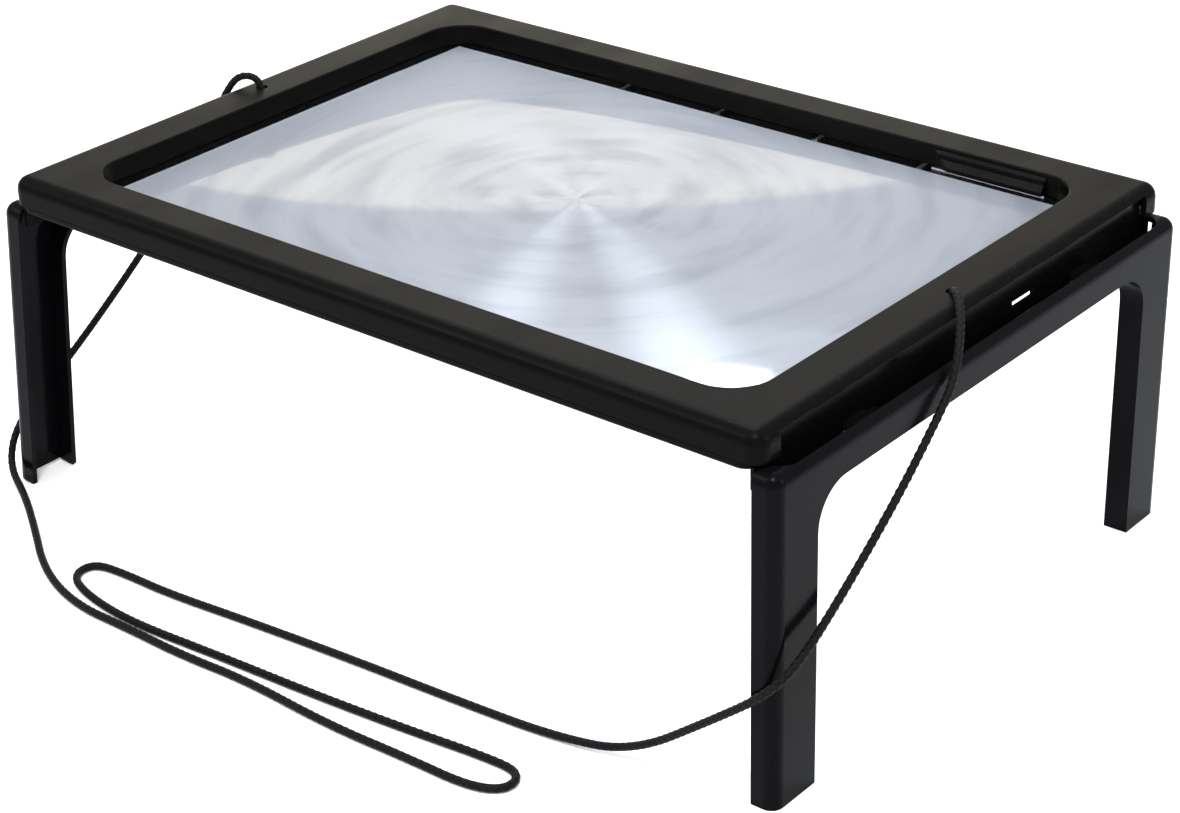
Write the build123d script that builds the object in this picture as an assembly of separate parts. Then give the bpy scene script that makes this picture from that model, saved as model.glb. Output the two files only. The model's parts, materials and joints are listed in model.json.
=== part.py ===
from build123d import *
import math
import os

# A hands-free page magnifier: a framed Fresnel sheet on two folding stands, with lamps and a neck cord.
# Millimetres. +X runs along the frame's long side, +Z is up, and z = 0 is the table under the feet.
# Pieces are drawn about the frame's own centre and moved by origin_shift_x when they are written.

# Frame
frame_length = 300.0
frame_width = 213.0
frame_top = 116.5
frame_bottom = 104.7
frame_corner = 5.0
opening_length = 264.0
opening_width = 180.0
opening_corner = 14.0
wall = 2.0
inner_wall = 1.8
top_plate = 2.2
top_round = 4.5
bottom_round = 1.2
part_line = 107.2
bottom_plate_top = 107.0
base_length = 294.0
base_corner = 5.0
rear_relief_x = 144.8
rear_relief_y = 96.8

# Lens sheet
lens_overlap = 4.0
lens_corner = 18.0
lens_bottom = 107.5
lens_thickness = 2.0
lens_border = 6.0
groove_relief = 0.25

# Recess in each short side, and the hinge rail that closes it
recess_half = 97.0
overhang_bottom = 114.0
rail_inner = 146.3
rail_outer = 147.5
rail_bottom = 99.0
rail_half = 104.9
rail_end_inner = 145.8
rail_end_outer = 147.0
rail_end_top = 105.9
rail_slot_start = 22.5
rail_slot_end = 34.3
rail_slot_bottom = 103.7
rail_slot_top = 105.8
overhang_bevel = 0.5

# Folding stands
stand_outer = 156.1
stand_depth = 8.3
stand_wall = 1.8
stand_half = 107.2
stand_top = 106.0
bar_bottom = 94.3
leg_width = 19.3
stand_corner = 4.2
stand_edge = 4.0
inner_fillet = 13.0
bar_flange_inner = 148.8
lip_inner = 153.7
lip_half = 101.0
lip_end_radius = 5.8
lip_bevel = 0.25
left_lean = 6.0

# Stand hinges
hinge_x = 150.5
hinge_z = 101.0
hinge_y = 60.0
lug_width = 10.0
lug_radius = 2.4
lug_arm_half = 1.9
ear_radius = 2.3
ear_width = 2.0
ear_gap = 0.3
pin_radius = 1.2
pin_pinch = 0.01
running_clearance = 0.07

# Screws
screw_radius = 1.1
screw_head_radius = 2.0
screw_head_height = 1.2
screw_tip = 111.5
boss_radius = 2.4
long_side_screws_x = (-128.0, -72.0, 10.0, 128.0)
long_side_screw_y = 101.0
short_side_screw_x = 141.5
short_side_screw_y = 55.0

# Lamps and their board
lamp_pitch = 41.3
first_lamp_x = -52.0
lamp_count = 4
lamp_radius = 1.3
lamp_z = 106.05
lead_offset = 0.65
hood_bottom = 104.2
hood_tip_half = 1.9
hood_root_half = 2.7
hood_tip_y = 87.7
hood_root_y = 91.0
lamp_front = 87.6
lamp_back = 91.5
board_front = 96.1
board_thickness = 1.0
board_left = -58.0
board_right = 75.0
board_bottom = 105.2
board_top = 111.0

# Battery box, cells and cover
box_left = 77.0
box_right = 118.0
box_front = 88.4
box_back = 102.4
box_top = 114.2
cell_radius = 5.8
cell_height = 3.05
cell_pitch = 13.0
cell_y = 96.7
pocket_radius = 5.95
pocket_top = 113.0
bulge_front = 87.0
bulge_top = 115.1
bulge_edge_y = 90.0
bulge_edge_z = 111.0
bulge_back = 91.7
contact_half = 1.5
cover_top = 106.2
strip = 0.3

# Switch
switch_x = 51.0
switch_y = 102.5
switch_top = 111.4
switch_half = 4.5
switch_front = 100.6
switch_back = 104.4
slot_half = 2.2
slot_bottom = 108.6
slot_top = 110.4
guide_thickness = 1.1

# Wires
wire_diameter = 0.9
wire_top = 113.1

# Heights well below and well above the frame's mouldings, for cuts that go right through them
cut_low = 100.0
cut_high = 120.0

# Neck cord
cord_diameter = 2.7
cord_hole_x = 141.5
cord_hole_y = 1.0
cord_hole_radius = 2.1
knot_radius = 3.3
knot_flat_top = 113.0

lens_top = lens_bottom + lens_thickness
box_middle = (box_left + box_right) / 2
cell_bottom = cover_top + strip
cell_top = cell_bottom + cell_height
stand_inner = stand_outer - stand_depth
overhang_drop = overhang_bottom - frame_top + top_round
overhang_edge_x = frame_length / 2 - top_round + math.sqrt(top_round**2 - overhang_drop**2)
foot_swing = hinge_z * math.sin(math.radians(left_lean))
foot_reach = (stand_outer - hinge_x) * math.cos(math.radians(left_lean)) + foot_swing
origin_shift_x = (hinge_x + foot_reach - stand_outer) / 2

# The cord's route, from the knot in the right rim round the near right foot, along the table in three
# strands, up the near left foot and back to the knot in the left rim.
cord_route = [
    (141.5, -1.0, 113.0),
    (141.5, -1.0, 118.5),
    (148.9, -8.6, 117.5),
    (155.8, -19.2, 111.2),
    (158.4, -26.0, 102.6),
    (158.6, -34.3, 94.4),
    (158.7, -54.0, 77.4),
    (159.1, -81.8, 58.6),
    (161.3, -105.6, 48.9),
    (154.4, -111.0, 40.2),
    (138.2, -110.8, 26.6),
    (108.8, -111.4, 3.4),
    (84.0, -116.6, 1.45),
    (50.0, -119.6, 1.45),
    (8.0, -122.4, 1.45),
    (-34.0, -126.2, 1.45),
    (-66.0, -129.8, 1.45),
    (-86.6, -130.0, 1.45),
    (-99.4, -131.6, 1.45),
    (-99.0, -141.4, 1.45),
    (-84.2, -146.6, 1.45),
    (-62.0, -148.7, 1.45),
    (-27.0, -145.7, 1.45),
    (12.0, -143.2, 1.45),
    (48.0, -139.8, 1.45),
    (73.6, -136.6, 1.45),
    (88.2, -136.2, 1.45),
    (90.6, -145.0, 1.45),
    (80.6, -150.3, 1.45),
    (58.2, -150.6, 1.45),
    (27.0, -152.2, 1.45),
    (-9.0, -150.2, 1.45),
    (-36.0, -152.3, 1.45),
    (-60.0, -151.9, 1.45),
    (-85.0, -152.4, 1.45),
    (-109.0, -144.4, 1.45),
    (-134.0, -127.4, 1.45),
    (-152.6, -115.6, 1.45),
    (-168.8, -108.6, 5.2),
    (-168.6, -103.0, 19.0),
    (-165.9, -88.0, 30.4),
    (-164.0, -65.6, 47.0),
    (-162.0, -43.4, 65.4),
    (-159.8, -21.0, 86.0),
    (-158.4, -9.6, 102.4),
    (-156.2, -4.8, 112.4),
    (-149.8, -3.4, 120.2),
    (-141.5, -1.0, 119.6),
    (-141.5, -1.0, 113.0),
]


def block(x0, x1, y0, y1, z0, z1):
    """A box given by its two opposite corners."""
    centre = Pos((x0 + x1) / 2, (y0 + y1) / 2, (z0 + z1) / 2)
    return centre * Box(x1 - x0, y1 - y0, z1 - z0)


def slab(length, width, corner, z0, z1):
    """A rounded rectangle about the frame's centre, from z0 up to z1."""
    return Pos(0, 0, z0) * extrude(RectangleRounded(length, width, corner), z1 - z0)


def ring(outer_grow, inner_grow, z0, z1):
    """A ring round the opening, between two outlines that stand outer_grow and inner_grow outside it."""
    outer = slab(
        opening_length + 2 * outer_grow,
        opening_width + 2 * outer_grow,
        opening_corner + outer_grow,
        z0,
        z1,
    )
    inner = slab(
        opening_length + 2 * inner_grow,
        opening_width + 2 * inner_grow,
        opening_corner + inner_grow,
        z0 - 1,
        z1 + 1,
    )
    return outer - inner


def post(x, y, z0, z1, radius):
    """An upright cylinder."""
    return Pos(x, y, (z0 + z1) / 2) * Cylinder(radius, z1 - z0)


def rod_y(x, z, y0, y1, radius):
    """A cylinder that lies along Y."""
    return Pos(x, (y0 + y1) / 2, z) * Rot(90, 0, 0) * Cylinder(radius, y1 - y0)


def half_turn(part):
    """The same piece turned end for end about the vertical axis."""
    return Rot(0, 0, 180) * part


def screw_places():
    """Where the frame screws stand, in plan."""
    places = []
    for x in long_side_screws_x:
        places.append((x, long_side_screw_y))
        places.append((x, -long_side_screw_y))
    for side in (-1, 1):
        for end in (-1, 1):
            places.append((side * short_side_screw_x, end * short_side_screw_y))
    return places


def lamp_places():
    """The lamps' places along the rear rim."""
    return [first_lamp_x + lamp_pitch * i for i in range(lamp_count)]


def cell_places():
    """The three cells' places along the battery box."""
    return [box_middle + cell_pitch * i for i in (-1, 0, 1)]


def make_top_frame():
    """The upper moulding: flat rim, rounded edge, skirt, inner wall and screw bosses."""
    body = slab(frame_length, frame_width, frame_corner, part_line, frame_top)
    body = fillet(body.edges().group_by(Axis.Z)[-1], top_round)
    cavity = slab(
        frame_length - 2 * wall,
        frame_width - 2 * wall,
        frame_corner - wall,
        part_line - 1,
        frame_top - top_plate,
    )
    core = slab(
        opening_length + 2 * inner_wall,
        opening_width + 2 * inner_wall,
        opening_corner + inner_wall,
        part_line - 2,
        frame_top,
    )
    body -= cavity - core
    body -= slab(
        opening_length + 2 * inner_wall + 0.01,
        opening_width + 2 * inner_wall + 0.01,
        opening_corner + inner_wall,
        part_line - 1,
        lens_top,
    )
    body -= slab(
        opening_length,
        opening_width,
        opening_corner,
        part_line - 1,
        frame_top + 1,
    )
    mouth = body.edges().filter_by(
        lambda e: (
            abs(e.center().Z - frame_top) < 0.01
            and abs(e.center().X) < opening_length / 2 + 0.1
            and abs(e.center().Y) < opening_width / 2 + 0.1
        )
    )
    body = fillet(mouth, 0.8)
    for x, y in screw_places():
        boss = post(x, y, bottom_plate_top, frame_top - top_plate + 0.2, boss_radius)
        body += boss - post(x, y, bottom_plate_top - 1, screw_tip + 0.5, screw_radius)
    for side in (-1, 1):
        outside = block(rail_inner - 0.3, stand_outer, -recess_half, recess_half, cut_low, overhang_bottom)
        body -= outside if side > 0 else half_turn(outside)
        body -= post(side * cord_hole_x, -cord_hole_y, frame_top - 5, frame_top + 5, cord_hole_radius)
    overhang_edges = body.edges().filter_by(
        lambda e: (
            abs(e.center().Z - overhang_bottom) < 0.01
            and abs(abs(e.center().X) - overhang_edge_x) < 0.01
            and e.length > recess_half
        )
    )
    body = chamfer(overhang_edges, overhang_bevel)
    body -= block(box_left - 0.2, box_right + 0.2, 89, 91.9, lens_top - 3, bulge_top + 0.1)
    body -= block(switch_x - slot_half, switch_x + slot_half, switch_front, 110, slot_bottom, slot_top)
    for edge in (switch_x - switch_half - 0.1 - guide_thickness, switch_x + switch_half + 0.1):
        body += block(
            edge,
            edge + guide_thickness,
            switch_front,
            switch_back + 0.2,
            part_line + 0.3,
            frame_top - top_plate + 0.2,
        )
    return body


def rail_slot():
    """The slot that goes right through the right end's rail and the plate behind it."""
    return block(
        rail_inner - 1,
        rail_outer + 1,
        rail_slot_start,
        rail_slot_end,
        rail_slot_bottom,
        rail_slot_top,
    )


def hinge_rail():
    """The right end's rail with its two hinge lugs; its low ends run on under the frame's corners."""
    rail = block(rail_inner, rail_outer, -recess_half, recess_half, rail_bottom, overhang_bottom + 0.2)
    for end in (-1, 1):
        near = end * (recess_half - 2)
        far = end * rail_half
        rail += block(rail_end_inner, rail_end_outer, min(near, far), max(near, far), rail_bottom, rail_end_top)
        y0 = end * hinge_y - lug_width / 2
        y1 = end * hinge_y + lug_width / 2
        rail += block(rail_outer - 0.5, hinge_x, y0, y1, hinge_z - lug_arm_half, hinge_z + lug_arm_half)
        rail += rod_y(hinge_x, hinge_z, y0, y1, lug_radius)
        rail -= rod_y(hinge_x, hinge_z, y0 - 1, y1 + 1, pin_radius + running_clearance)
    return rail


def lamp_hood(x):
    """The nose that carries a lamp into the opening, under the lens's plain border."""
    outline = Polygon(
        (x - hood_root_half, hood_root_y),
        (x - hood_tip_half, hood_tip_y),
        (x + hood_tip_half, hood_tip_y),
        (x + hood_root_half, hood_root_y),
        align=None,
    )
    return Pos(0, 0, hood_bottom) * extrude(outline, lens_bottom - 0.1 - hood_bottom)


def lamp_channel(x):
    """The groove that a lamp and its legs lie in, open upwards."""
    bore = rod_y(x, lamp_z, 85, board_front + 0.2, lamp_radius + 0.1)
    top = block(
        x - lamp_radius - 0.1,
        x + lamp_radius + 0.1,
        85,
        board_front + 0.2,
        lamp_z,
        lens_top + 1,
    )
    return bore + top


def make_bottom_frame():
    """The lower moulding: base ring, lens ledge, locating ribs, hinge rails and lamp hoods."""
    body = slab(base_length, frame_width, base_corner, frame_bottom, bottom_plate_top)
    body = fillet(body.edges().group_by(Axis.Z)[0], bottom_round)
    tongue_width = frame_width - 2 * wall - 0.4
    tongue = slab(base_length, tongue_width, base_corner, bottom_plate_top - 0.5, 109.0)
    tongue -= slab(base_length - 2.8, tongue_width - 2.8, base_corner - 1.4, bottom_plate_top, 110.0)
    body += tongue
    body += ring(lens_overlap + 0.3, 0, bottom_plate_top - 0.5, lens_bottom)
    body += ring(lens_overlap + 1.3, lens_overlap + 0.3, bottom_plate_top - 0.5, lens_top - 0.2)
    for side in (-1, 1):
        inner_x = side * rear_relief_x
        outer_x = side * frame_length / 2
        body -= block(min(inner_x, outer_x), max(inner_x, outer_x), rear_relief_y, frame_width, cut_low, cut_high)
    for turn in (False, True):
        recess = block(rail_outer, stand_outer, -recess_half, recess_half, cut_low, cut_high)
        inner = block(rail_inner - 3, rail_outer + 1, -recess_half, recess_half, bottom_plate_top, 112)
        rail = hinge_rail()
        body -= half_turn(recess + inner) if turn else recess + inner
        body += half_turn(rail) if turn else rail
        body -= half_turn(rail_slot()) if turn else rail_slot()
    body -= slab(opening_length, opening_width, opening_corner, cut_low, cut_high)
    body -= block(switch_x - 7, switch_x + 7, 100, 104.4, bottom_plate_top, 110)
    for x, y in screw_places():
        body -= post(x, y, bottom_plate_top, 110, boss_radius + 0.15)
        body -= post(x, y, frame_bottom - 1, screw_tip, screw_radius + 0.15)
        body -= post(
            x,
            y,
            frame_bottom - 1,
            frame_bottom + 0.2 + screw_head_height,
            screw_head_radius + 0.1,
        )
    for x in lamp_places():
        body += lamp_hood(x)
        body -= lamp_channel(x)
    body -= block(
        board_left - 0.3,
        board_right + 0.3,
        board_front - 0.1,
        board_front + board_thickness + 0.1,
        board_bottom,
        board_top,
    )
    body -= block(box_left - 0.3, box_right + 0.3, box_front - 1, box_back + 0.1, bottom_plate_top, 120)
    body -= block(box_left + 0.8, box_right - 0.8, 90.8, frame_width, cut_low, cut_high)
    body -= block(box_left, box_right, 91.5, frame_width, cover_top - 0.8, cover_top)
    return body


def make_lens():
    """The Fresnel sheet: a plain border round the grooved field, notched for the battery box."""
    body = slab(
        opening_length + 2 * lens_overlap,
        opening_width + 2 * lens_overlap,
        lens_corner,
        lens_bottom,
        lens_top,
    )
    body -= slab(
        opening_length - 2 * lens_border,
        opening_width - 2 * lens_border,
        opening_corner - lens_border,
        lens_bottom - 1,
        lens_bottom + groove_relief,
    )
    return body - block(box_left - 0.5, box_right + 0.5, box_front - 0.2, frame_width, cut_low, cut_high)


def make_screws():
    """The frame's twelve screws, driven up from below."""
    screws = []
    for x, y in screw_places():
        head_bottom = frame_bottom + 0.2
        head_top = head_bottom + screw_head_height
        head = post(x, y, head_bottom, head_top, screw_head_radius)
        head -= block(x - 1.3, x + 1.3, y - 0.3, y + 0.3, head_bottom - 1, head_bottom + 0.6)
        head -= block(x - 0.3, x + 0.3, y - 1.3, y + 1.3, head_bottom - 1, head_bottom + 0.6)
        screws.append(head + post(x, y, head_top - 0.1, screw_tip, screw_radius))
    return screws


def stand_profile(inset, foot_drop):
    """The stand's U in the YZ plane, drawn inside its outline by inset."""
    outer_half = stand_half - inset
    inner_half = stand_half - leg_width + inset
    top = stand_top - inset
    gap_top = bar_bottom + inset
    outer = Pos(0, (top - foot_drop) / 2) * Rectangle(2 * outer_half, top + foot_drop)
    gap = Pos(0, (gap_top - foot_drop) / 2) * Rectangle(2 * inner_half, gap_top + foot_drop)
    outline = outer - gap
    corners = outline.vertices()
    outline = fillet(corners.group_by(Axis.Y)[-1], stand_corner - inset)
    inside = outline.vertices().filter_by(
        lambda v: abs(v.Y - gap_top) < 0.01 and abs(abs(v.X) - inner_half) < 0.01
    )
    return fillet(inside, inner_fillet + inset)


def outer_rim(part, face_x):
    """The edges of the U's outer outline on the face at face_x."""
    return part.edges().filter_by(
        lambda e: (
            abs(e.bounding_box().min.X - face_x) < 0.01
            and abs(e.bounding_box().max.X - face_x) < 0.01
            and (abs(e.center().Y) > stand_half - stand_corner or e.center().Z > bar_bottom + 4)
            and e.center().Z > 0.5
        )
    )


def make_stand():
    """The right stand: a thin U-shaped channel, open inwards, with four hinge ears."""
    shell = extrude(Plane.YZ.offset(stand_inner) * stand_profile(0, 0), stand_depth)
    shell = fillet(outer_rim(shell, stand_outer), stand_edge)
    web_inside = stand_outer - stand_wall
    hollow = extrude(
        Plane.YZ.offset(stand_inner - 1) * stand_profile(stand_wall, 2),
        web_inside - stand_inner + 1,
    )
    hollow = fillet(outer_rim(hollow, web_inside), stand_edge - stand_wall)
    shell -= hollow
    bar_half = stand_half - leg_width - 2
    notch = block(stand_inner - 1, lip_inner, -lip_half, lip_half, bar_bottom + stand_wall, stand_top + 1)
    notch_corners = notch.edges().filter_by(Axis.Z).filter_by(lambda e: e.center().X > stand_inner)
    shell -= fillet(notch_corners, lip_end_radius)
    lip_edge = shell.edges().filter_by(
        lambda e: abs(e.center().X - lip_inner) < 0.01 and e.center().Z > bar_bottom + 4 and e.length > lip_half
    )
    shell = chamfer(lip_edge, lip_bevel)
    shell -= block(
        stand_inner - 1,
        bar_flange_inner,
        -bar_half + inner_fillet,
        bar_half - inner_fillet,
        bar_bottom - 1,
        stand_top,
    )
    for end in (-1, 1):
        for side in (-1, 1):
            near = end * hinge_y + side * (lug_width / 2 + ear_gap)
            far = near + side * ear_width
            y0 = min(near, far)
            y1 = max(near, far)
            shell += block(
                hinge_x,
                web_inside + 0.5,
                y0,
                y1,
                hinge_z - ear_radius,
                hinge_z + ear_radius,
            )
            shell += rod_y(hinge_x, hinge_z, y0, y1, ear_radius)
            shell -= rod_y(hinge_x, hinge_z, y0 - 1, y1 + 1, pin_radius - pin_pinch)
    return shell


def make_hinge_pins():
    """The right stand's two steel pins, each through two ears and the lug between them."""
    half = lug_width / 2 + ear_gap + ear_width
    return [rod_y(hinge_x, hinge_z, end * hinge_y - half, end * hinge_y + half, pin_radius) for end in (-1, 1)]


def to_left(part):
    """A right-hand stand piece put at the left end, leaning outwards by left_lean."""
    hinge = Axis((-hinge_x, 0, hinge_z), (0, 1, 0))
    return part.mirror(Plane.YZ).rotate(hinge, left_lean)


def make_battery_box():
    """The cell holder, with three round pockets and the sloped bulge that shows inside the opening."""
    body = block(box_left, box_right, box_front, box_back, bottom_plate_top, box_top)
    side = Plane.YZ.offset(box_left) * Polygon(
        (bulge_back, bulge_top),
        (bulge_edge_y, bulge_top),
        (bulge_front, bulge_edge_z),
        (bulge_front, lens_top + 0.1),
        (bulge_back, lens_top + 0.1),
        align=None,
    )
    bulge = extrude(side, box_right - box_left)
    taper = Polygon((box_left - 1, 90.1), (box_left - 1, 86), (box_left + 8, 86), align=None)
    body += bulge - Pos(0, 0, 105) * extrude(taper, 15)
    for x in cell_places():
        body -= post(x, cell_y, bottom_plate_top - 1, pocket_top, pocket_radius)
    first, middle, last = cell_places()
    body -= block(first - 18, first + 5.2, cell_y - 1.6, cell_y + 1.6, pocket_top - strip, pocket_top)
    body -= block(middle - 5.2, last + 5.2, cell_y - 1.6, cell_y + 1.6, pocket_top - strip, pocket_top)
    return body


def make_battery_cover():
    """The sliding cover under the cells, with a side tongue on each edge and a thumb groove."""
    body = block(box_left + 1, box_right - 1, 91.0, 106.4, frame_bottom, cover_top)
    body += block(box_left + 1, box_right - 1, 105.0, 106.4, frame_bottom, bottom_plate_top - 0.1)
    body += block(box_left + 0.2, box_right - 0.2, 92, 104, cover_top - 0.7, cover_top - 0.1)
    rear_edge = body.edges().filter_by(
        lambda e: abs(e.center().Z - frame_bottom) < 0.01 and abs(e.center().Y - 106.4) < 0.01
    )
    body = fillet(rear_edge, 1.0)
    for y in (99.0, 100.6, 102.2):
        body -= block(box_middle - 6, box_middle + 6, y, y + 0.7, frame_bottom - 1, frame_bottom + 0.4)
    return body


def spring_leaf(x):
    """A bent leaf that presses down on a cell."""
    z0 = pocket_top - strip
    outline = Polygon(
        (x - 4.0, z0),
        (x + 0.8, cell_top),
        (x + 3.0, cell_top),
        (x + 3.0, cell_top + strip),
        (x + 1.2, cell_top + strip),
        (x - 3.4, z0),
        align=None,
    )
    return extrude(Plane.XZ.offset(-cell_y - contact_half) * outline, 2 * contact_half)


def upper_strip(x0, x1, leaves):
    """A flat strip under the box's roof with one leaf for each cell."""
    body = block(x0, x1, cell_y - contact_half, cell_y + contact_half, pocket_top - strip, pocket_top)
    for x in leaves:
        body += spring_leaf(x)
    return body


def make_cover_contacts():
    """The two strips on the cover: one joins two cells, one feeds the side contact."""
    first, middle, last = cell_places()
    link = block(first - 4, middle + 4, cell_y - contact_half, cell_y + contact_half, cover_top, cover_top + strip)
    tab = block(last - 4, last + 4, cell_y - contact_half, cell_y + contact_half, cover_top, cover_top + strip)
    tab += block(last + 2.5, last + 4, cell_y + 1.4, box_back + strip, cover_top, cover_top + strip)
    return [link, tab]


def make_cell(x, flipped):
    """One button cell: a can with a narrower cap at one end."""
    cap = 0.4
    if flipped:
        return post(x, cell_y, cell_bottom + cap, cell_top, cell_radius) + post(
            x, cell_y, cell_bottom, cell_bottom + cap, cell_radius - 1.1
        )
    return post(x, cell_y, cell_bottom, cell_top - cap, cell_radius) + post(
        x, cell_y, cell_top - cap, cell_top, cell_radius - 1.1
    )


def make_lamp(x):
    """A clear lamp that lies along Y, with its dome towards the page."""
    body = rod_y(x, lamp_z, lamp_front, lamp_back, lamp_radius)
    return body + Pos(x, lamp_front, lamp_z) * Sphere(lamp_radius)


def make_lamp_leads():
    """Two legs behind each lamp, as far as the board."""
    leads = []
    for x in lamp_places():
        for side in (-lead_offset, lead_offset):
            leads.append(rod_y(x + side, lamp_z, lamp_back, board_front, 0.25))
    return leads


def make_switch_body():
    """The slide switch's housing, open at the back for the knob."""
    body = block(
        switch_x - switch_half,
        switch_x + switch_half,
        switch_front,
        switch_back,
        bottom_plate_top + 0.6,
        switch_top,
    )
    return body - block(switch_x - slot_half, switch_x + slot_half, 102.8, 105, slot_bottom, slot_top)


def make_switch_slider():
    """The knob, drawn in its off place, with grip grooves on its outer face."""
    body = block(switch_x - 2.1, switch_x - 0.1, 103.0, 107.3, slot_bottom + 0.1, slot_top - 0.1)
    for i in range(3):
        x = switch_x - 1.85 + 0.6 * i
        body -= block(x, x + 0.25, 107.0, 108, 108, 111)
    return body


def tube(points, diameter, radii):
    """A round tube along straight runs joined by tangent arcs."""
    path = FilletPolyline(*points, radius=radii)
    start = Plane(origin=path @ 0, z_dir=path % 0)
    return sweep(start * Circle(diameter / 2), path)


def wire(points):
    """A thin insulated wire inside the rim."""
    return tube(points, wire_diameter, arc_radii(points, 0.45))


def arc_radii(points, share):
    """The largest tangent arc that each corner's shorter run allows."""
    radii = []
    for before, here, after in zip(points, points[1:], points[2:]):
        first = Vector(*here) - Vector(*before)
        second = Vector(*after) - Vector(*here)
        half_turn_angle = math.radians(first.get_angle(second)) / 2
        radii.append(share * min(first.length, second.length) / math.tan(half_turn_angle))
    return radii


def make_red_wire():
    """From the upper terminal at the battery box to the switch."""
    strip_middle = pocket_top - strip - 0.15
    return wire(
        [
            (box_left, cell_y, strip_middle),
            (box_left - 4, cell_y, strip_middle),
            (64, 98.4, 112.8),
            (switch_x + 3.6, 99.0, wire_top),
            (switch_x + 3, switch_y, wire_top),
            (switch_x + 3, switch_y, switch_top),
        ]
    )


def make_feed_wire():
    """From the switch to the lamp board."""
    board_back = board_front + board_thickness
    return wire(
        [
            (switch_x - 3, switch_y, switch_top),
            (switch_x - 3, switch_y, wire_top),
            (switch_x - 3.6, 99.2, 113.0),
            (41, 99.4, 111.4),
            (36, 99.9, 109.6),
            (36, board_back, 109.6),
        ]
    )


def make_black_wire():
    """From the side contact, behind the battery box, to the lamp board."""
    board_back = board_front + board_thickness
    behind_box = box_back + 0.48
    return wire(
        [
            (cell_places()[2] + 2.5, behind_box, 112.0),
            (box_left - 2, behind_box, 112.0),
            (67, 101.2, 110.6),
            (62, 100.2, 109.4),
            (62, board_back, 109.4),
        ]
    )


def make_cord():
    """The neck cord, a plain tube along its route."""
    radii = arc_radii(cord_route, 0.45)
    print("cord radii:", ", ".join(f"{r:.1f}" for r in radii))
    cord = tube(cord_route, cord_diameter, radii)
    section = math.pi * (cord_diameter / 2) ** 2
    print(f"cord volume {cord.volume:.0f} mm3, so {cord.volume / section:.0f} mm long")
    return cord


def make_knot(side):
    """The knot that holds a cord end under the rim."""
    ball = Pos(side * cord_hole_x, -cord_hole_y, 110.4) * Sphere(knot_radius)
    return ball - block(-200, 200, -20, 20, knot_flat_top, 120)


def build_nodes():
    """Every node by name; a list holds separate solids in one node."""
    first, middle, last = cell_places()
    stand = make_stand()
    pins = make_hinge_pins()
    board_back = board_front + board_thickness
    nodes = {
        "top_frame": make_top_frame(),
        "bottom_frame": make_bottom_frame(),
        "fresnel_lens": make_lens(),
        "frame_screws": make_screws(),
        "right_stand": stand,
        "left_stand": to_left(stand),
        "right_hinge_pins": pins,
        "left_hinge_pins": [to_left(pin) for pin in pins],
        "battery_box": make_battery_box(),
        "battery_cover": make_battery_cover(),
        "cover_contacts": make_cover_contacts(),
        "upper_terminal": upper_strip(first - 7.5, first + 5, [first]),
        "upper_link": upper_strip(middle - 5, last + 5, [middle, last]),
        "side_contact": block(last + 2.5, last + 4, box_back, box_back + strip, cell_bottom, pocket_top),
        "switch_body": make_switch_body(),
        "switch_slider": make_switch_slider(),
        "lamp_board": block(board_left, board_right, board_front, board_back, board_bottom, board_top),
        "resistor": Pos(20, board_back + 0.9, 109) * Rot(0, 90, 0) * Cylinder(0.9, 4.0),
        "lamp_leads": make_lamp_leads(),
        "red_wire": make_red_wire(),
        "feed_wire": make_feed_wire(),
        "black_wire": make_black_wire(),
        "neck_cord": make_cord(),
        "right_cord_knot": make_knot(1),
        "left_cord_knot": make_knot(-1),
    }
    for i, x in enumerate((first, middle, last)):
        nodes[f"button_cell_{i + 1}"] = make_cell(x, i == 1)
    for i, x in enumerate(lamp_places()):
        nodes[f"lamp_{i + 1}"] = make_lamp(x)
    return nodes


def write_nodes(nodes):
    """Write each node to its own STEP file, in the part's own frame."""
    os.makedirs("parts", exist_ok=True)
    for name, shape in nodes.items():
        if isinstance(shape, list):
            solids = [solid for piece in shape for solid in piece.solids()]
        else:
            solids = list(shape.solids())
        whole = solids[0] if len(solids) == 1 else Compound(children=solids)
        export_step(Pos(origin_shift_x, 0, 0) * whole, os.path.join("parts", f"{name}.step"))


print(f"origin shift {origin_shift_x:.3f}")
write_nodes(build_nodes())
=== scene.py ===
import bpy
import json
import math
from mathutils import Matrix, Vector


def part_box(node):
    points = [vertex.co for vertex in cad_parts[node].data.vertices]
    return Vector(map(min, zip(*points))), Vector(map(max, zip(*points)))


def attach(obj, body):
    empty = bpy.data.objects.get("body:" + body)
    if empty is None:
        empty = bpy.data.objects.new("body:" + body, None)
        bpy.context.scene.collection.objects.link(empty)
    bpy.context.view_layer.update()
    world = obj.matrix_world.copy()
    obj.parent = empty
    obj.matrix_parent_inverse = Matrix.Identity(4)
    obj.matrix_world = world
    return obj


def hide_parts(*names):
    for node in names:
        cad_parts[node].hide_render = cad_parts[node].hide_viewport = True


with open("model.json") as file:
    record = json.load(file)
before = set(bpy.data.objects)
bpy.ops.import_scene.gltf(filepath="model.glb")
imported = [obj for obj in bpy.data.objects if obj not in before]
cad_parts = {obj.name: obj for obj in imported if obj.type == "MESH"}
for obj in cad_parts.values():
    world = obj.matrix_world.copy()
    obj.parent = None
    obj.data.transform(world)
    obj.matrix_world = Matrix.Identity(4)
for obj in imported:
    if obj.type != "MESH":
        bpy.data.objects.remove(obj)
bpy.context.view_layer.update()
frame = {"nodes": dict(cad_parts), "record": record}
nodes = frame["nodes"]

# Places below are in millimetres about the frame's own centre, which lies this far along X.
frame_lo, frame_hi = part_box("top_frame")
shift_x = (frame_lo.x + frame_hi.x) / 2
mm = 0.001


def at(x, y, z):
    """A point in the part's frame, from millimetres about the frame's own centre."""
    return Vector((x * mm + shift_x, y * mm, z * mm))


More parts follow.
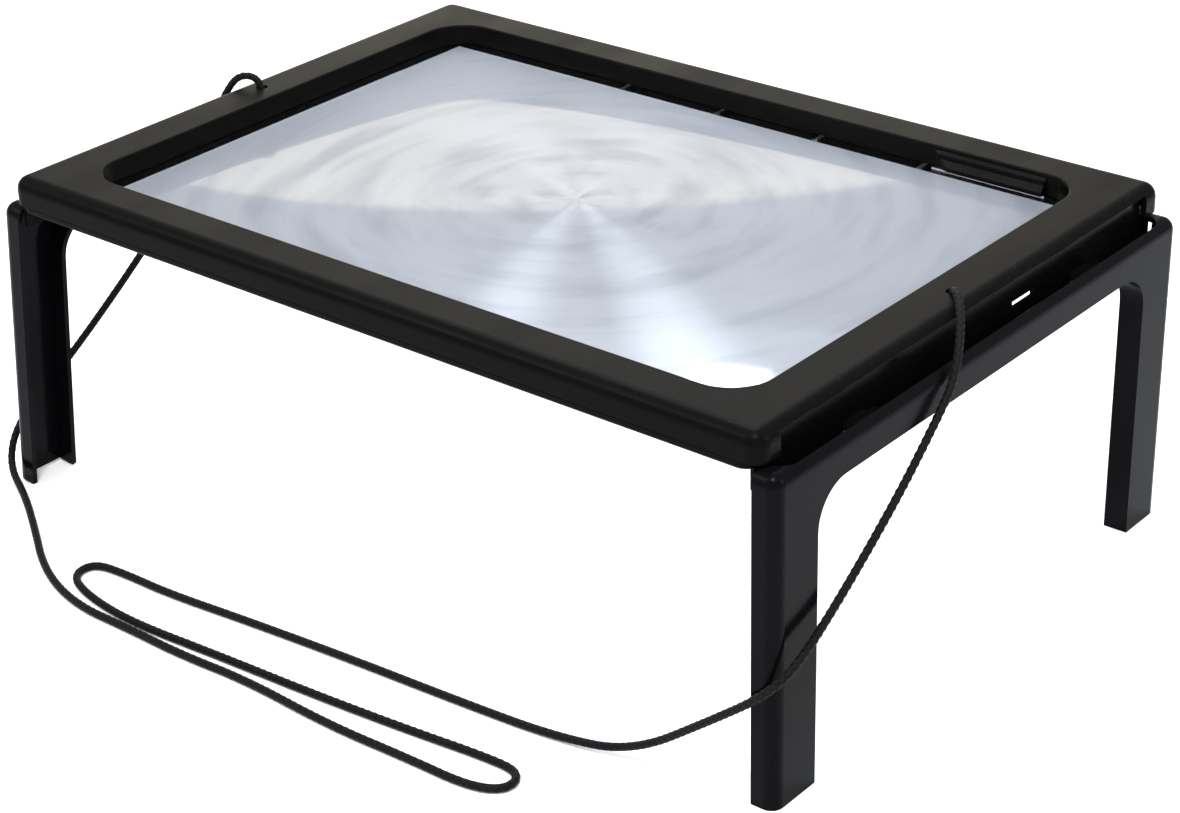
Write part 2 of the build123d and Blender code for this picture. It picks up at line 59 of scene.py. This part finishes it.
# ---------------------------------------------------------------- camera
def make_camera():
    """The camera stands off the front right corner and looks down on the object."""
    azimuth, elevation, roll = math.radians(40.167), math.radians(27.436), math.radians(-1.634)
    target = at(4.56, -2.16, 37.11)
    distance = 0.89694
    back = Vector(
        (
            math.sin(azimuth) * math.cos(elevation),
            -math.cos(azimuth) * math.cos(elevation),
            math.sin(elevation),
        )
    )
    right = Vector((math.cos(azimuth), math.sin(azimuth), 0))
    up = back.cross(right)
    turned_right = right * math.cos(roll) + up * math.sin(roll)
    turned_up = back.cross(turned_right)
    data = bpy.data.cameras.new("camera")
    data.lens = 82.93
    data.sensor_width = 36
    data.clip_start, data.clip_end = 0.05, 20
    cam = bpy.data.objects.new("camera", data)
    bpy.context.scene.collection.objects.link(cam)
    turn = Matrix((turned_right, turned_up, back)).transposed()
    cam.matrix_world = Matrix.Translation(target + back * distance) @ turn.to_4x4()
    bpy.context.scene.camera = cam


make_camera()

# ---------------------------------------------------------------- neck cord
# Its route leaves the right rim, hangs down past the near right leg, lies on the table in three strands, and goes
# round the near left leg and up to the left rim.
cord_diameter = 2.7 * mm
cord_points = [
    (141.5, -1.0, 113.0),
    (141.5, -1.0, 118.5),
    (148.9, -8.6, 117.5),
    (155.8, -19.2, 111.2),
    (158.4, -26.0, 102.6),
    (158.6, -34.3, 94.4),
    (158.7, -54.0, 77.4),
    (159.1, -81.8, 58.6),
    (161.3, -105.6, 48.9),
    (154.4, -111.0, 40.2),
    (138.2, -110.8, 26.6),
    (108.8, -111.4, 3.4),
    (84.0, -116.6, 1.45),
    (50.0, -119.6, 1.45),
    (8.0, -122.4, 1.45),
    (-34.0, -126.2, 1.45),
    (-66.0, -129.8, 1.45),
    (-86.6, -130.0, 1.45),
    (-99.4, -131.6, 1.45),
    (-99.0, -141.4, 1.45),
    (-84.2, -146.6, 1.45),
    (-62.0, -148.7, 1.45),
    (-27.0, -145.7, 1.45),
    (12.0, -143.2, 1.45),
    (48.0, -139.8, 1.45),
    (73.6, -136.6, 1.45),
    (88.2, -136.2, 1.45),
    (90.6, -145.0, 1.45),
    (80.6, -150.3, 1.45),
    (58.2, -150.6, 1.45),
    (27.0, -152.2, 1.45),
    (-9.0, -150.2, 1.45),
    (-36.0, -152.3, 1.45),
    (-60.0, -151.9, 1.45),
    (-85.0, -152.4, 1.45),
    (-109.0, -144.4, 1.45),
    (-134.0, -127.4, 1.45),
    (-152.6, -115.6, 1.45),
    (-168.8, -108.6, 5.2),
    (-168.6, -103.0, 19.0),
    (-165.9, -88.0, 30.4),
    (-164.0, -65.6, 47.0),
    (-162.0, -43.4, 65.4),
    (-159.8, -21.0, 86.0),
    (-158.4, -9.6, 102.4),
    (-156.2, -4.8, 112.4),
    (-149.8, -3.4, 120.2),
    (-141.5, -1.0, 119.6),
    (-141.5, -1.0, 113.0),
]


def read_path():
    """The smooth line through the route: points read from one open NURBS spline."""
    data = bpy.data.curves.new("cord_route", "CURVE")
    data.dimensions = "3D"
    data.resolution_u = 24
    spline = data.splines.new("NURBS")
    spline.points.add(len(cord_points) - 1)
    for point, place in zip(spline.points, cord_points):
        point.co = (*at(*place), 1)
    spline.order_u = 3
    spline.use_endpoint_u = True
    guide = bpy.data.objects.new("cord_route", data)
    bpy.context.scene.collection.objects.link(guide)
    bpy.context.view_layer.update()
    mesh = bpy.data.meshes.new_from_object(guide)
    path = [vertex.co.copy() for vertex in mesh.vertices]
    bpy.data.meshes.remove(mesh)
    bpy.data.objects.remove(guide)
    bpy.data.curves.remove(data)
    return path


def even_path(path, step):
    """The same line as points one step apart."""
    lengths = [0.0]
    for before, here in zip(path, path[1:]):
        lengths.append(lengths[-1] + (here - before).length)
    count = round(lengths[-1] / step)
    points = []
    i = 0
    for n in range(count + 1):
        wanted = lengths[-1] * n / count
        while i < len(path) - 2 and lengths[i + 1] < wanted:
            i += 1
        share = (wanted - lengths[i]) / max(lengths[i + 1] - lengths[i], 1e-9)
        points.append(path[i].lerp(path[i + 1], share))
    return points


def add_mesh(name, verts, faces, smooth=True):
    """A new object with this mesh, linked to the scene."""
    mesh = bpy.data.meshes.new(name)
    mesh.from_pydata(verts, [], faces)
    if smooth:
        mesh.shade_smooth()
    obj = bpy.data.objects.new(name, mesh)
    bpy.context.scene.collection.objects.link(obj)
    return obj


# The braid: two sets of yarns cross at this lead, and each diamond stands up a little.
braid_lead = 9.6 * mm
yarns_each_way = 4
braid_sides = 24
braid_step = 0.36 * mm
braid_relief = 0.24 * mm


def braid_radius(along, around):
    """The cord's radius where two sets of yarns cross over and under each other."""
    one = yarns_each_way * (around + 2 * math.pi * along / braid_lead)
    two = yarns_each_way * (around - 2 * math.pi * along / braid_lead)
    crown = 0.5 + 0.25 * (math.cos(one) + math.cos(two))
    return cord_diameter / 2 - braid_relief * (1 - crown)


def make_cord():
    """The braided cord, a mesh tube round the route's spline."""
    path = even_path(read_path(), braid_step)
    verts, faces, tones = [], [], []
    side = (path[1] - path[0]).orthogonal().normalized()
    for i, point in enumerate(path):
        ahead = path[min(i + 1, len(path) - 1)] - path[max(i - 1, 0)]
        ahead.normalize()
        side = (side - ahead * side.dot(ahead)).normalized()
        other = ahead.cross(side)
        for j in range(braid_sides):
            around = 2 * math.pi * j / braid_sides
            radius = braid_radius(i * braid_step, around)
            verts.append(point + (side * math.cos(around) + other * math.sin(around)) * radius)
            tones.append((radius - cord_diameter / 2 + braid_relief) / braid_relief)
    for i in range(len(path) - 1):
        for j in range(braid_sides):
            k = (j + 1) % braid_sides
            row, after = i * braid_sides, (i + 1) * braid_sides
            faces.append((row + j, row + k, after + k, after + j))
    last = (len(path) - 1) * braid_sides
    faces.append(tuple(reversed(range(braid_sides))))
    faces.append(tuple(range(last, last + braid_sides)))
    cord = add_mesh("neck_cord_braid", verts, faces)
    # how high each point stands in the braid, which the braid material turns into painted shade in the valleys
    crown = cord.data.attributes.new("crown", "FLOAT", "POINT")
    crown.data.foreach_set("value", tones)
    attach(cord, "frame")
    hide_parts("neck_cord")
    return cord


neck_cord = make_cord()


# ---------------------------------------------------------------- materials
class Shade:
    """A material and short ways to add nodes to it."""

    def __init__(self, name):
        self.mat = bpy.data.materials.new(name)
        self.mat.use_nodes = True
        self.tree = self.mat.node_tree
        self.tree.nodes.clear()
        self.out = self.tree.nodes.new("ShaderNodeOutputMaterial")
        self.where = self.node("TexCoord").outputs["Object"]

    def node(self, kind, **values):
        """A new node, with the sockets named here set."""
        node = self.tree.nodes.new("ShaderNode" + kind)
        for name, value in values.items():
            self.put(node.inputs[name.replace("_", " ")], value)
        return node

    def put(self, socket, value):
        """Set a socket to a constant, or link it to another node's output."""
        if isinstance(value, bpy.types.NodeSocket):
            self.tree.links.new(value, socket)
        else:
            socket.default_value = value

    def joined(self, x=0.0, y=0.0, z=0.0):
        return self.node("CombineXYZ", X=x, Y=y, Z=z).outputs[0]

    def parted(self, vector):
        """The outputs X, Y and Z of a vector."""
        return self.node("SeparateXYZ", Vector=vector).outputs

    def calc(self, operation, *values):
        node = self.node("Math")
        node.operation = operation
        for socket, value in zip(node.inputs, values):
            self.put(socket, value)
        return node.outputs[0]

    def vector(self, operation, *values):
        node = self.node("VectorMath")
        node.operation = operation
        for socket, value in zip(node.inputs, values):
            self.put(socket, value)
        return node.outputs["Value"] if operation in ("LENGTH", "DOT_PRODUCT") else node.outputs["Vector"]

    def scaled(self, vector, factor):
        node = self.node("VectorMath", Vector=vector)
        node.operation = "SCALE"
        self.put(node.inputs["Scale"], factor)
        return node.outputs["Vector"]

    def ramp(self, value, low, high, to_low=0.0, to_high=1.0, smooth=True):
        """The value carried from low..high to to_low..to_high, and held at the ends."""
        node = self.node("MapRange", Value=value, From_Min=low, From_Max=high, To_Min=to_low, To_Max=to_high)
        node.interpolation_type = "SMOOTHSTEP" if smooth else "LINEAR"
        return node.outputs["Result"]

    def noise(self, scale, detail=2.0, where=None, rough=0.5):
        where = where or self.where
        return self.node("TexNoise", Scale=scale, Detail=detail, Roughness=rough, Vector=where).outputs["Fac"]

    def blend(self, share, first, second):
        node = self.node("Mix")
        node.data_type = "RGBA"
        self.put(node.inputs["Factor"], share)
        for socket, colour in ((node.inputs[6], first), (node.inputs[7], second)):
            self.put(socket, colour if isinstance(colour, bpy.types.NodeSocket) else (*colour, 1))
        return node.outputs[2]

    def bump(self, height, strength, distance):
        return self.node("Bump", Strength=strength, Distance=distance, Height=height).outputs["Normal"]

    def mixed(self, share, first, second):
        """Two shaders, with this share of the second."""
        node = self.node("MixShader")
        for socket, value in zip(node.inputs, (share, first.outputs[0], second.outputs[0])):
            self.put(socket, value)
        return node

    def finish(self, shader):
        """Connect the shader to the output and give back the material."""
        self.tree.links.new(shader.outputs[0], self.out.inputs[0])
        return self.mat

    def principled(self, **values):
        return self.node("BsdfPrincipled", **values)


def stretched(shade, x, y, z):
    """Object coordinates scaled by a different amount along each axis."""
    return shade.vector("MULTIPLY", shade.where, (x, y, z))


def upward(shade):
    """1 on faces that look up, 0 on upright ones."""
    normal = shade.node("NewGeometry").outputs["True Normal"]
    return shade.ramp(shade.parted(normal)["Z"], 0.35, 0.85)


def moulded(name, base, top_rough, side_rough, gloss, grain=2400, relief=0.12):
    """Black moulded plastic: fine satin grain on top, glossier sides, wipe marks, fine scratches and dust."""
    shade = Shade(name)
    fine = shade.noise(grain, 3)
    wipes = shade.noise(1.0, 4, stretched(shade, 35, 9, 35), 0.6)
    scratch = shade.noise(1.0, 2, stretched(shade, 140, 3600, 900), 0.4)
    lines = shade.ramp(scratch, 0.70, 0.78)
    dust = shade.ramp(shade.noise(1500, 1), 0.73, 0.80)
    up = upward(shade)
    satin = shade.ramp(up, 0, 1, side_rough, top_rough, smooth=False)
    rough = shade.calc("ADD", satin, shade.ramp(wipes, 0.3, 0.7, -0.05, 0.06))
    rough = shade.calc("ADD", rough, shade.calc("MULTIPLY", lines, 0.08))
    tone = shade.blend(fine, [c * 0.8 for c in base], [c * 1.2 for c in base])
    tone = shade.blend(shade.calc("MULTIPLY", dust, shade.calc("MULTIPLY", up, 0.05)), tone, (0.4, 0.4, 0.38))
    height = shade.calc("ADD", fine, shade.calc("MULTIPLY", lines, -0.6))
    strength = shade.ramp(up, 0, 1, relief * 0.35, relief, smooth=False)
    return shade.finish(
        shade.principled(
            Base_Color=tone,
            Roughness=rough,
            Specular_IOR_Level=gloss,
            Normal=shade.bump(height, strength, 0.0001),
        )
    )


def soft_plastic(name, base, rough, relief=0.15):
    """Lacquer, sleeving or solder mask: an even colour with slight mottling."""
    shade = Shade(name)
    fine = shade.noise(1800, 3)
    patch = shade.noise(300, 2)
    tone = shade.blend(patch, [c * 0.82 for c in base], [min(c * 1.15, 1) for c in base])
    return shade.finish(
        shade.principled(
            Base_Color=tone,
            Roughness=shade.ramp(patch, 0.3, 0.7, rough * 0.85, rough * 1.15),
            Normal=shade.bump(fine, relief, 0.0001),
        )
    )


def metal(name, base, rough, turned=(900, 900, 900)):
    """Plated or ground metal with fine drawn lines and darker patches."""
    shade = Shade(name)
    drawn = shade.noise(1.0, 3, stretched(shade, *turned))
    stain = shade.noise(400, 3)
    tone = shade.blend(shade.ramp(stain, 0.35, 0.75), base, [c * 0.7 for c in base])
    return shade.finish(
        shade.principled(
            Base_Color=tone,
            Metallic=1.0,
            Roughness=shade.ramp(drawn, 0.3, 0.7, rough * 0.7, rough * 1.4),
            Normal=shade.bump(drawn, 0.12, 0.00005),
        )
    )


def braided(name):
    """Black polyester braid: slightly paler worn crowns on each yarn, and painted shade that darkens the valleys
    between them.
    """
    shade = Shade(name)
    crown = shade.node("Attribute")
    crown.attribute_name = "crown"
    fibre = shade.noise(5200, 2)
    # painted shade: the colour darkens from each yarn's crown down into the valleys, with paler worn crowns
    tone = shade.blend(crown.outputs["Fac"], (0.0012, 0.0012, 0.0012), (0.006, 0.006, 0.007))
    tone = shade.blend(shade.ramp(fibre, 0.6, 0.8, 0, 0.2), tone, (0.02, 0.02, 0.022))
    return shade.finish(
        shade.principled(
            Base_Color=tone,
            Roughness=shade.ramp(fibre, 0.3, 0.7, 0.5, 0.7),
            Specular_IOR_Level=0.08,
            Sheen_Weight=0.01,
            Normal=shade.bump(fibre, 0.3, 0.00008),
        )
    )


def clear_lamp(name):
    """Water-clear epoxy with a faint warm cast in random patches."""
    shade = Shade(name)
    haze = shade.noise(900, 2)
    return shade.finish(
        shade.principled(
            Base_Color=shade.blend(haze, (0.93, 0.95, 1.0), (0.99, 0.97, 0.9)),
            Roughness=shade.ramp(haze, 0.3, 0.7, 0.03, 0.1),
            IOR=1.52,
            Transmission_Weight=0.92,
        )
    )


# The lens, in millimetres: a field of rings that reaches this far each way from the centre, with this pitch.
# Its face leans outwards by this many radians for each millimetre from the centre.
ring_field_x, ring_field_y = 126.0, 84.0
ring_pitch = 0.5
lens_lean = 0.00135
lens_clearness = 0.78
acrylic_index = 1.49


def lens_tint_and_painted_strokes(shade, flat, radius, field):
    """The sheet's tint with painted reflections: long soft dark strokes that follow the rings, and finer ones
    between them, stand in for blurred images of dark parts, and the same strokes dull the gloss.
    """
    outward = shade.scaled(shade.vector("NORMALIZE", flat), 1.1)
    sway = shade.noise(9.0, 2)
    depth = shade.calc("ADD", shade.calc("MULTIPLY", radius, 0.075), sway)
    swirl = shade.vector("ADD", outward, shade.joined(z=depth))
    # painted reflections: dark strokes in the tint, in place of the blurred images of dark parts
    painted_smoke = shade.ramp(shade.noise(1.0, 4, swirl, 0.5), 0.44, 0.72)
    painted_strokes = shade.ramp(shade.noise(2.2, 2, swirl, 0.45), 0.52, 0.74)
    tint = shade.blend(painted_smoke, (0.46, 0.48, 0.53), (0.38, 0.40, 0.45))
    tint = shade.blend(shade.calc("MULTIPLY", painted_strokes, 0.3), tint, (0.35, 0.38, 0.43))
    border_tint = (0.84, 0.84, 0.87)
    tint = shade.scaled(shade.blend(field, border_tint, tint), lens_clearness)
    # the same painted strokes, as a mask that dulls the gloss
    stroke_dulling = shade.calc("MAXIMUM", painted_smoke, shade.calc("MULTIPLY", painted_strokes, 0.7))
    return tint, shade.calc("MULTIPLY", stroke_dulling, field)


def lens_faces(shade, flat, radius, field):
    """The upper face's direction, without and with ridges. Its outward lean enlarges what lies beneath."""
    geometry = shade.node("NewGeometry")
    is_top = shade.calc("GREATER_THAN", shade.parted(geometry.outputs["True Normal"])["Z"], 0.5)
    lean = shade.calc("MULTIPLY", shade.calc("MULTIPLY", is_top, field), lens_lean)
    tilt = shade.scaled(flat, lean)
    bent = shade.vector("NORMALIZE", shade.vector("ADD", geometry.outputs["Normal"], tilt))
    rings = shade.calc("SINE", shade.calc("MULTIPLY", radius, 2 * math.pi / ring_pitch))
    strength = shade.calc("MULTIPLY", field, 0.05)
    ridges = shade.node("Bump", Strength=strength, Distance=0.00003, Height=rings, Normal=bent)
    return bent, ridges.outputs["Normal"]


def lens_material():
    """Acrylic sheet with concentric rings that bend light towards the centre, and a plain polished border."""
    shade = Shade("lens")
    from_centre = shade.vector("SUBTRACT", shade.where, tuple(at(0, 0, 0)))
    place = shade.parted(shade.scaled(from_centre, 1000))
    x, y = place["X"], place["Y"]
    flat = shade.joined(x, y)
    radius = shade.vector("LENGTH", flat)

    # inside the plain border the rings begin
    across = shade.calc("SUBTRACT", ring_field_x, shade.calc("ABSOLUTE", x))
    along = shade.calc("SUBTRACT", ring_field_y, shade.calc("ABSOLUTE", y))
    field = shade.ramp(shade.calc("MINIMUM", across, along), -0.4, 0.4)
    tint, stroke_dulling = lens_tint_and_painted_strokes(shade, flat, radius, field)
    bent, ridged = lens_faces(shade, flat, radius, field)

    # the picture of what lies beneath, veiled where the rings are
    blur = shade.ramp(field, 0, 1, 0.02, 0.34, smooth=False)
    through = shade.node("BsdfRefraction", Color=tint, IOR=acrylic_index, Roughness=blur, Normal=bent)
    milk = shade.node("BsdfTranslucent", Color=tint)
    hazy = shade.mixed(shade.calc("MULTIPLY", field, 0.7), through, milk)

    # gloss that the ridges draw out across themselves, and a sharper one that the painted strokes dull
    round_way = shade.vector("NORMALIZE", shade.joined(shade.calc("MULTIPLY", y, -1), x))
    spread = shade.ramp(field, 0, 1, 0.04, 0.22, smooth=False)
    gloss = shade.node("BsdfAnisotropic", Roughness=spread, Anisotropy=0.75, Normal=ridged, Tangent=round_way)
    shine = shade.blend(stroke_dulling, (1, 1, 1), (0.6, 0.6, 0.62))
    polish = shade.node("BsdfAnisotropic", Color=shine, Roughness=0.055, Normal=bent)
    mirrored = shade.mixed(0.5, gloss, polish)
    fresnel = shade.node("Fresnel", IOR=acrylic_index)
    body = shade.mixed(fresnel.outputs[0], hazy, mirrored)

    # light passes on to the page below, a little dimmed
    clear = shade.node("BsdfTransparent", Color=(0.95, 0.96, 0.97, 1))
    ray = shade.node("LightPath").outputs
    passes = shade.calc("MAXIMUM", ray["Is Shadow Ray"], ray["Is Diffuse Ray"])
    return shade.finish(shade.mixed(passes, body, clear))


looks = {
    "frame_plastic": moulded("frame_plastic", (0.0026, 0.0026, 0.0024), 0.42, 0.20, 0.026),
    "stand_plastic": moulded("stand_plastic", (0.0021, 0.0021, 0.0028), 0.28, 0.18, 0.038),
    "box_plastic": moulded("box_plastic", (0.0026, 0.0026, 0.003), 0.25, 0.22, 0.03),
    "switch_plastic": soft_plastic("switch_plastic", (0.012, 0.012, 0.013), 0.42),
    "lens": lens_material(),
    "lamp_clear": clear_lamp("lamp_clear"),
    "screw_steel": metal("screw_steel", (0.10, 0.10, 0.11), 0.35),
    "pin_steel": metal("pin_steel", (0.6, 0.6, 0.62), 0.2, (2500, 120, 2500)),
    "contact_nickel": metal("contact_nickel", (0.66, 0.64, 0.58), 0.25, (120, 2500, 2500)),
    "cell_steel": metal("cell_steel", (0.7, 0.7, 0.72), 0.16),
    "board": soft_plastic("board", (0.02, 0.12, 0.05), 0.3),
    "resistor": soft_plastic("resistor", (0.45, 0.34, 0.2), 0.35),
    "red_insulation": soft_plastic("red_insulation", (0.4, 0.02, 0.015), 0.45),
    "black_insulation": soft_plastic("black_insulation", (0.012, 0.012, 0.012), 0.45),
    "cord_braid": braided("cord_braid"),
}
for entry in frame["record"]["subparts"]:
    target = nodes[entry["node"]]
    target.data.materials.clear()
    target.data.materials.append(looks[entry["material_slot"]])
neck_cord.data.materials.append(looks["cord_braid"])


# ---------------------------------------------------------------- floor and light
def make_floor():
    """A pale square table top under the object."""
    half = 6.0
    corners = [(-half, -half, 0), (half, -half, 0), (half, half, 0), (-half, half, 0)]
    floor = add_mesh("floor", corners, [(0, 1, 2, 3)], smooth=False)
    shade = Shade("floor")
    patch = shade.noise(3, 2)
    tone = shade.blend(patch, (0.90, 0.90, 0.905), (0.93, 0.93, 0.935))
    floor.data.materials.append(shade.finish(shade.principled(Base_Color=tone, Roughness=0.85)))


aim_height = 80
white = (1, 1, 1)
warm = (1.0, 0.9, 0.72)
cool = (0.84, 0.93, 1.0)


def area_light(name, azimuth, elevation, distance, size_x, size_y, power, colour=white, shape="RECTANGLE"):
    """A soft box that faces the object. Angles are in degrees: azimuth 0 is in front, 90 on the right."""
    turn, rise = math.radians(azimuth), math.radians(elevation)
    way = Vector((math.sin(turn) * math.cos(rise), -math.cos(turn) * math.cos(rise), math.sin(rise)))
    data = bpy.data.lights.new(name, "AREA")
    data.shape = shape
    data.size, data.size_y = size_x, size_y
    data.energy = power
    data.color = colour
    light = bpy.data.objects.new(name, data)
    light.location = at(0, 0, aim_height) + way * distance
    light.rotation_mode = "QUATERNION"
    light.rotation_quaternion = (-way).to_track_quat("-Z", "Y")
    bpy.context.scene.collection.objects.link(light)


def make_world():
    """An even white surround."""
    world = bpy.data.worlds.new("world")
    world.use_nodes = True
    background = world.node_tree.nodes["Background"]
    background.inputs["Color"].default_value = (1, 1, 1, 1)
    background.inputs["Strength"].default_value = 0.86
    bpy.context.scene.world = world


make_floor()
# The lens mirrors the soft boxes behind: a wide low one, whose top edge makes an arc, and three high ones.
area_light("rear_low", 220, 5.8, 1.8, 1.4, 1.3, 10.5, warm, "ELLIPSE")
area_light("rear_high", 220, 51, 1.8, 1.5, 0.5, 3, cool)
area_light("rear_left", 233, 58, 1.5, 0.12, 0.5, 7.5, cool)
area_light("rear_right", 207, 58, 1.5, 0.12, 0.5, 7.5, cool)
# Small ones in front and at the side put glints on the corners.
area_light("left_front", -42, 38, 1.5, 0.5, 0.5, 6)
area_light("key", 34, 60, 1.4, 0.34, 0.34, 17)
area_light("right_side", 110, 26, 1.5, 0.25, 0.6, 4)
make_world()
bpy.context.scene.view_settings.view_transform = "Standard"

bpy.context.view_layer.update()
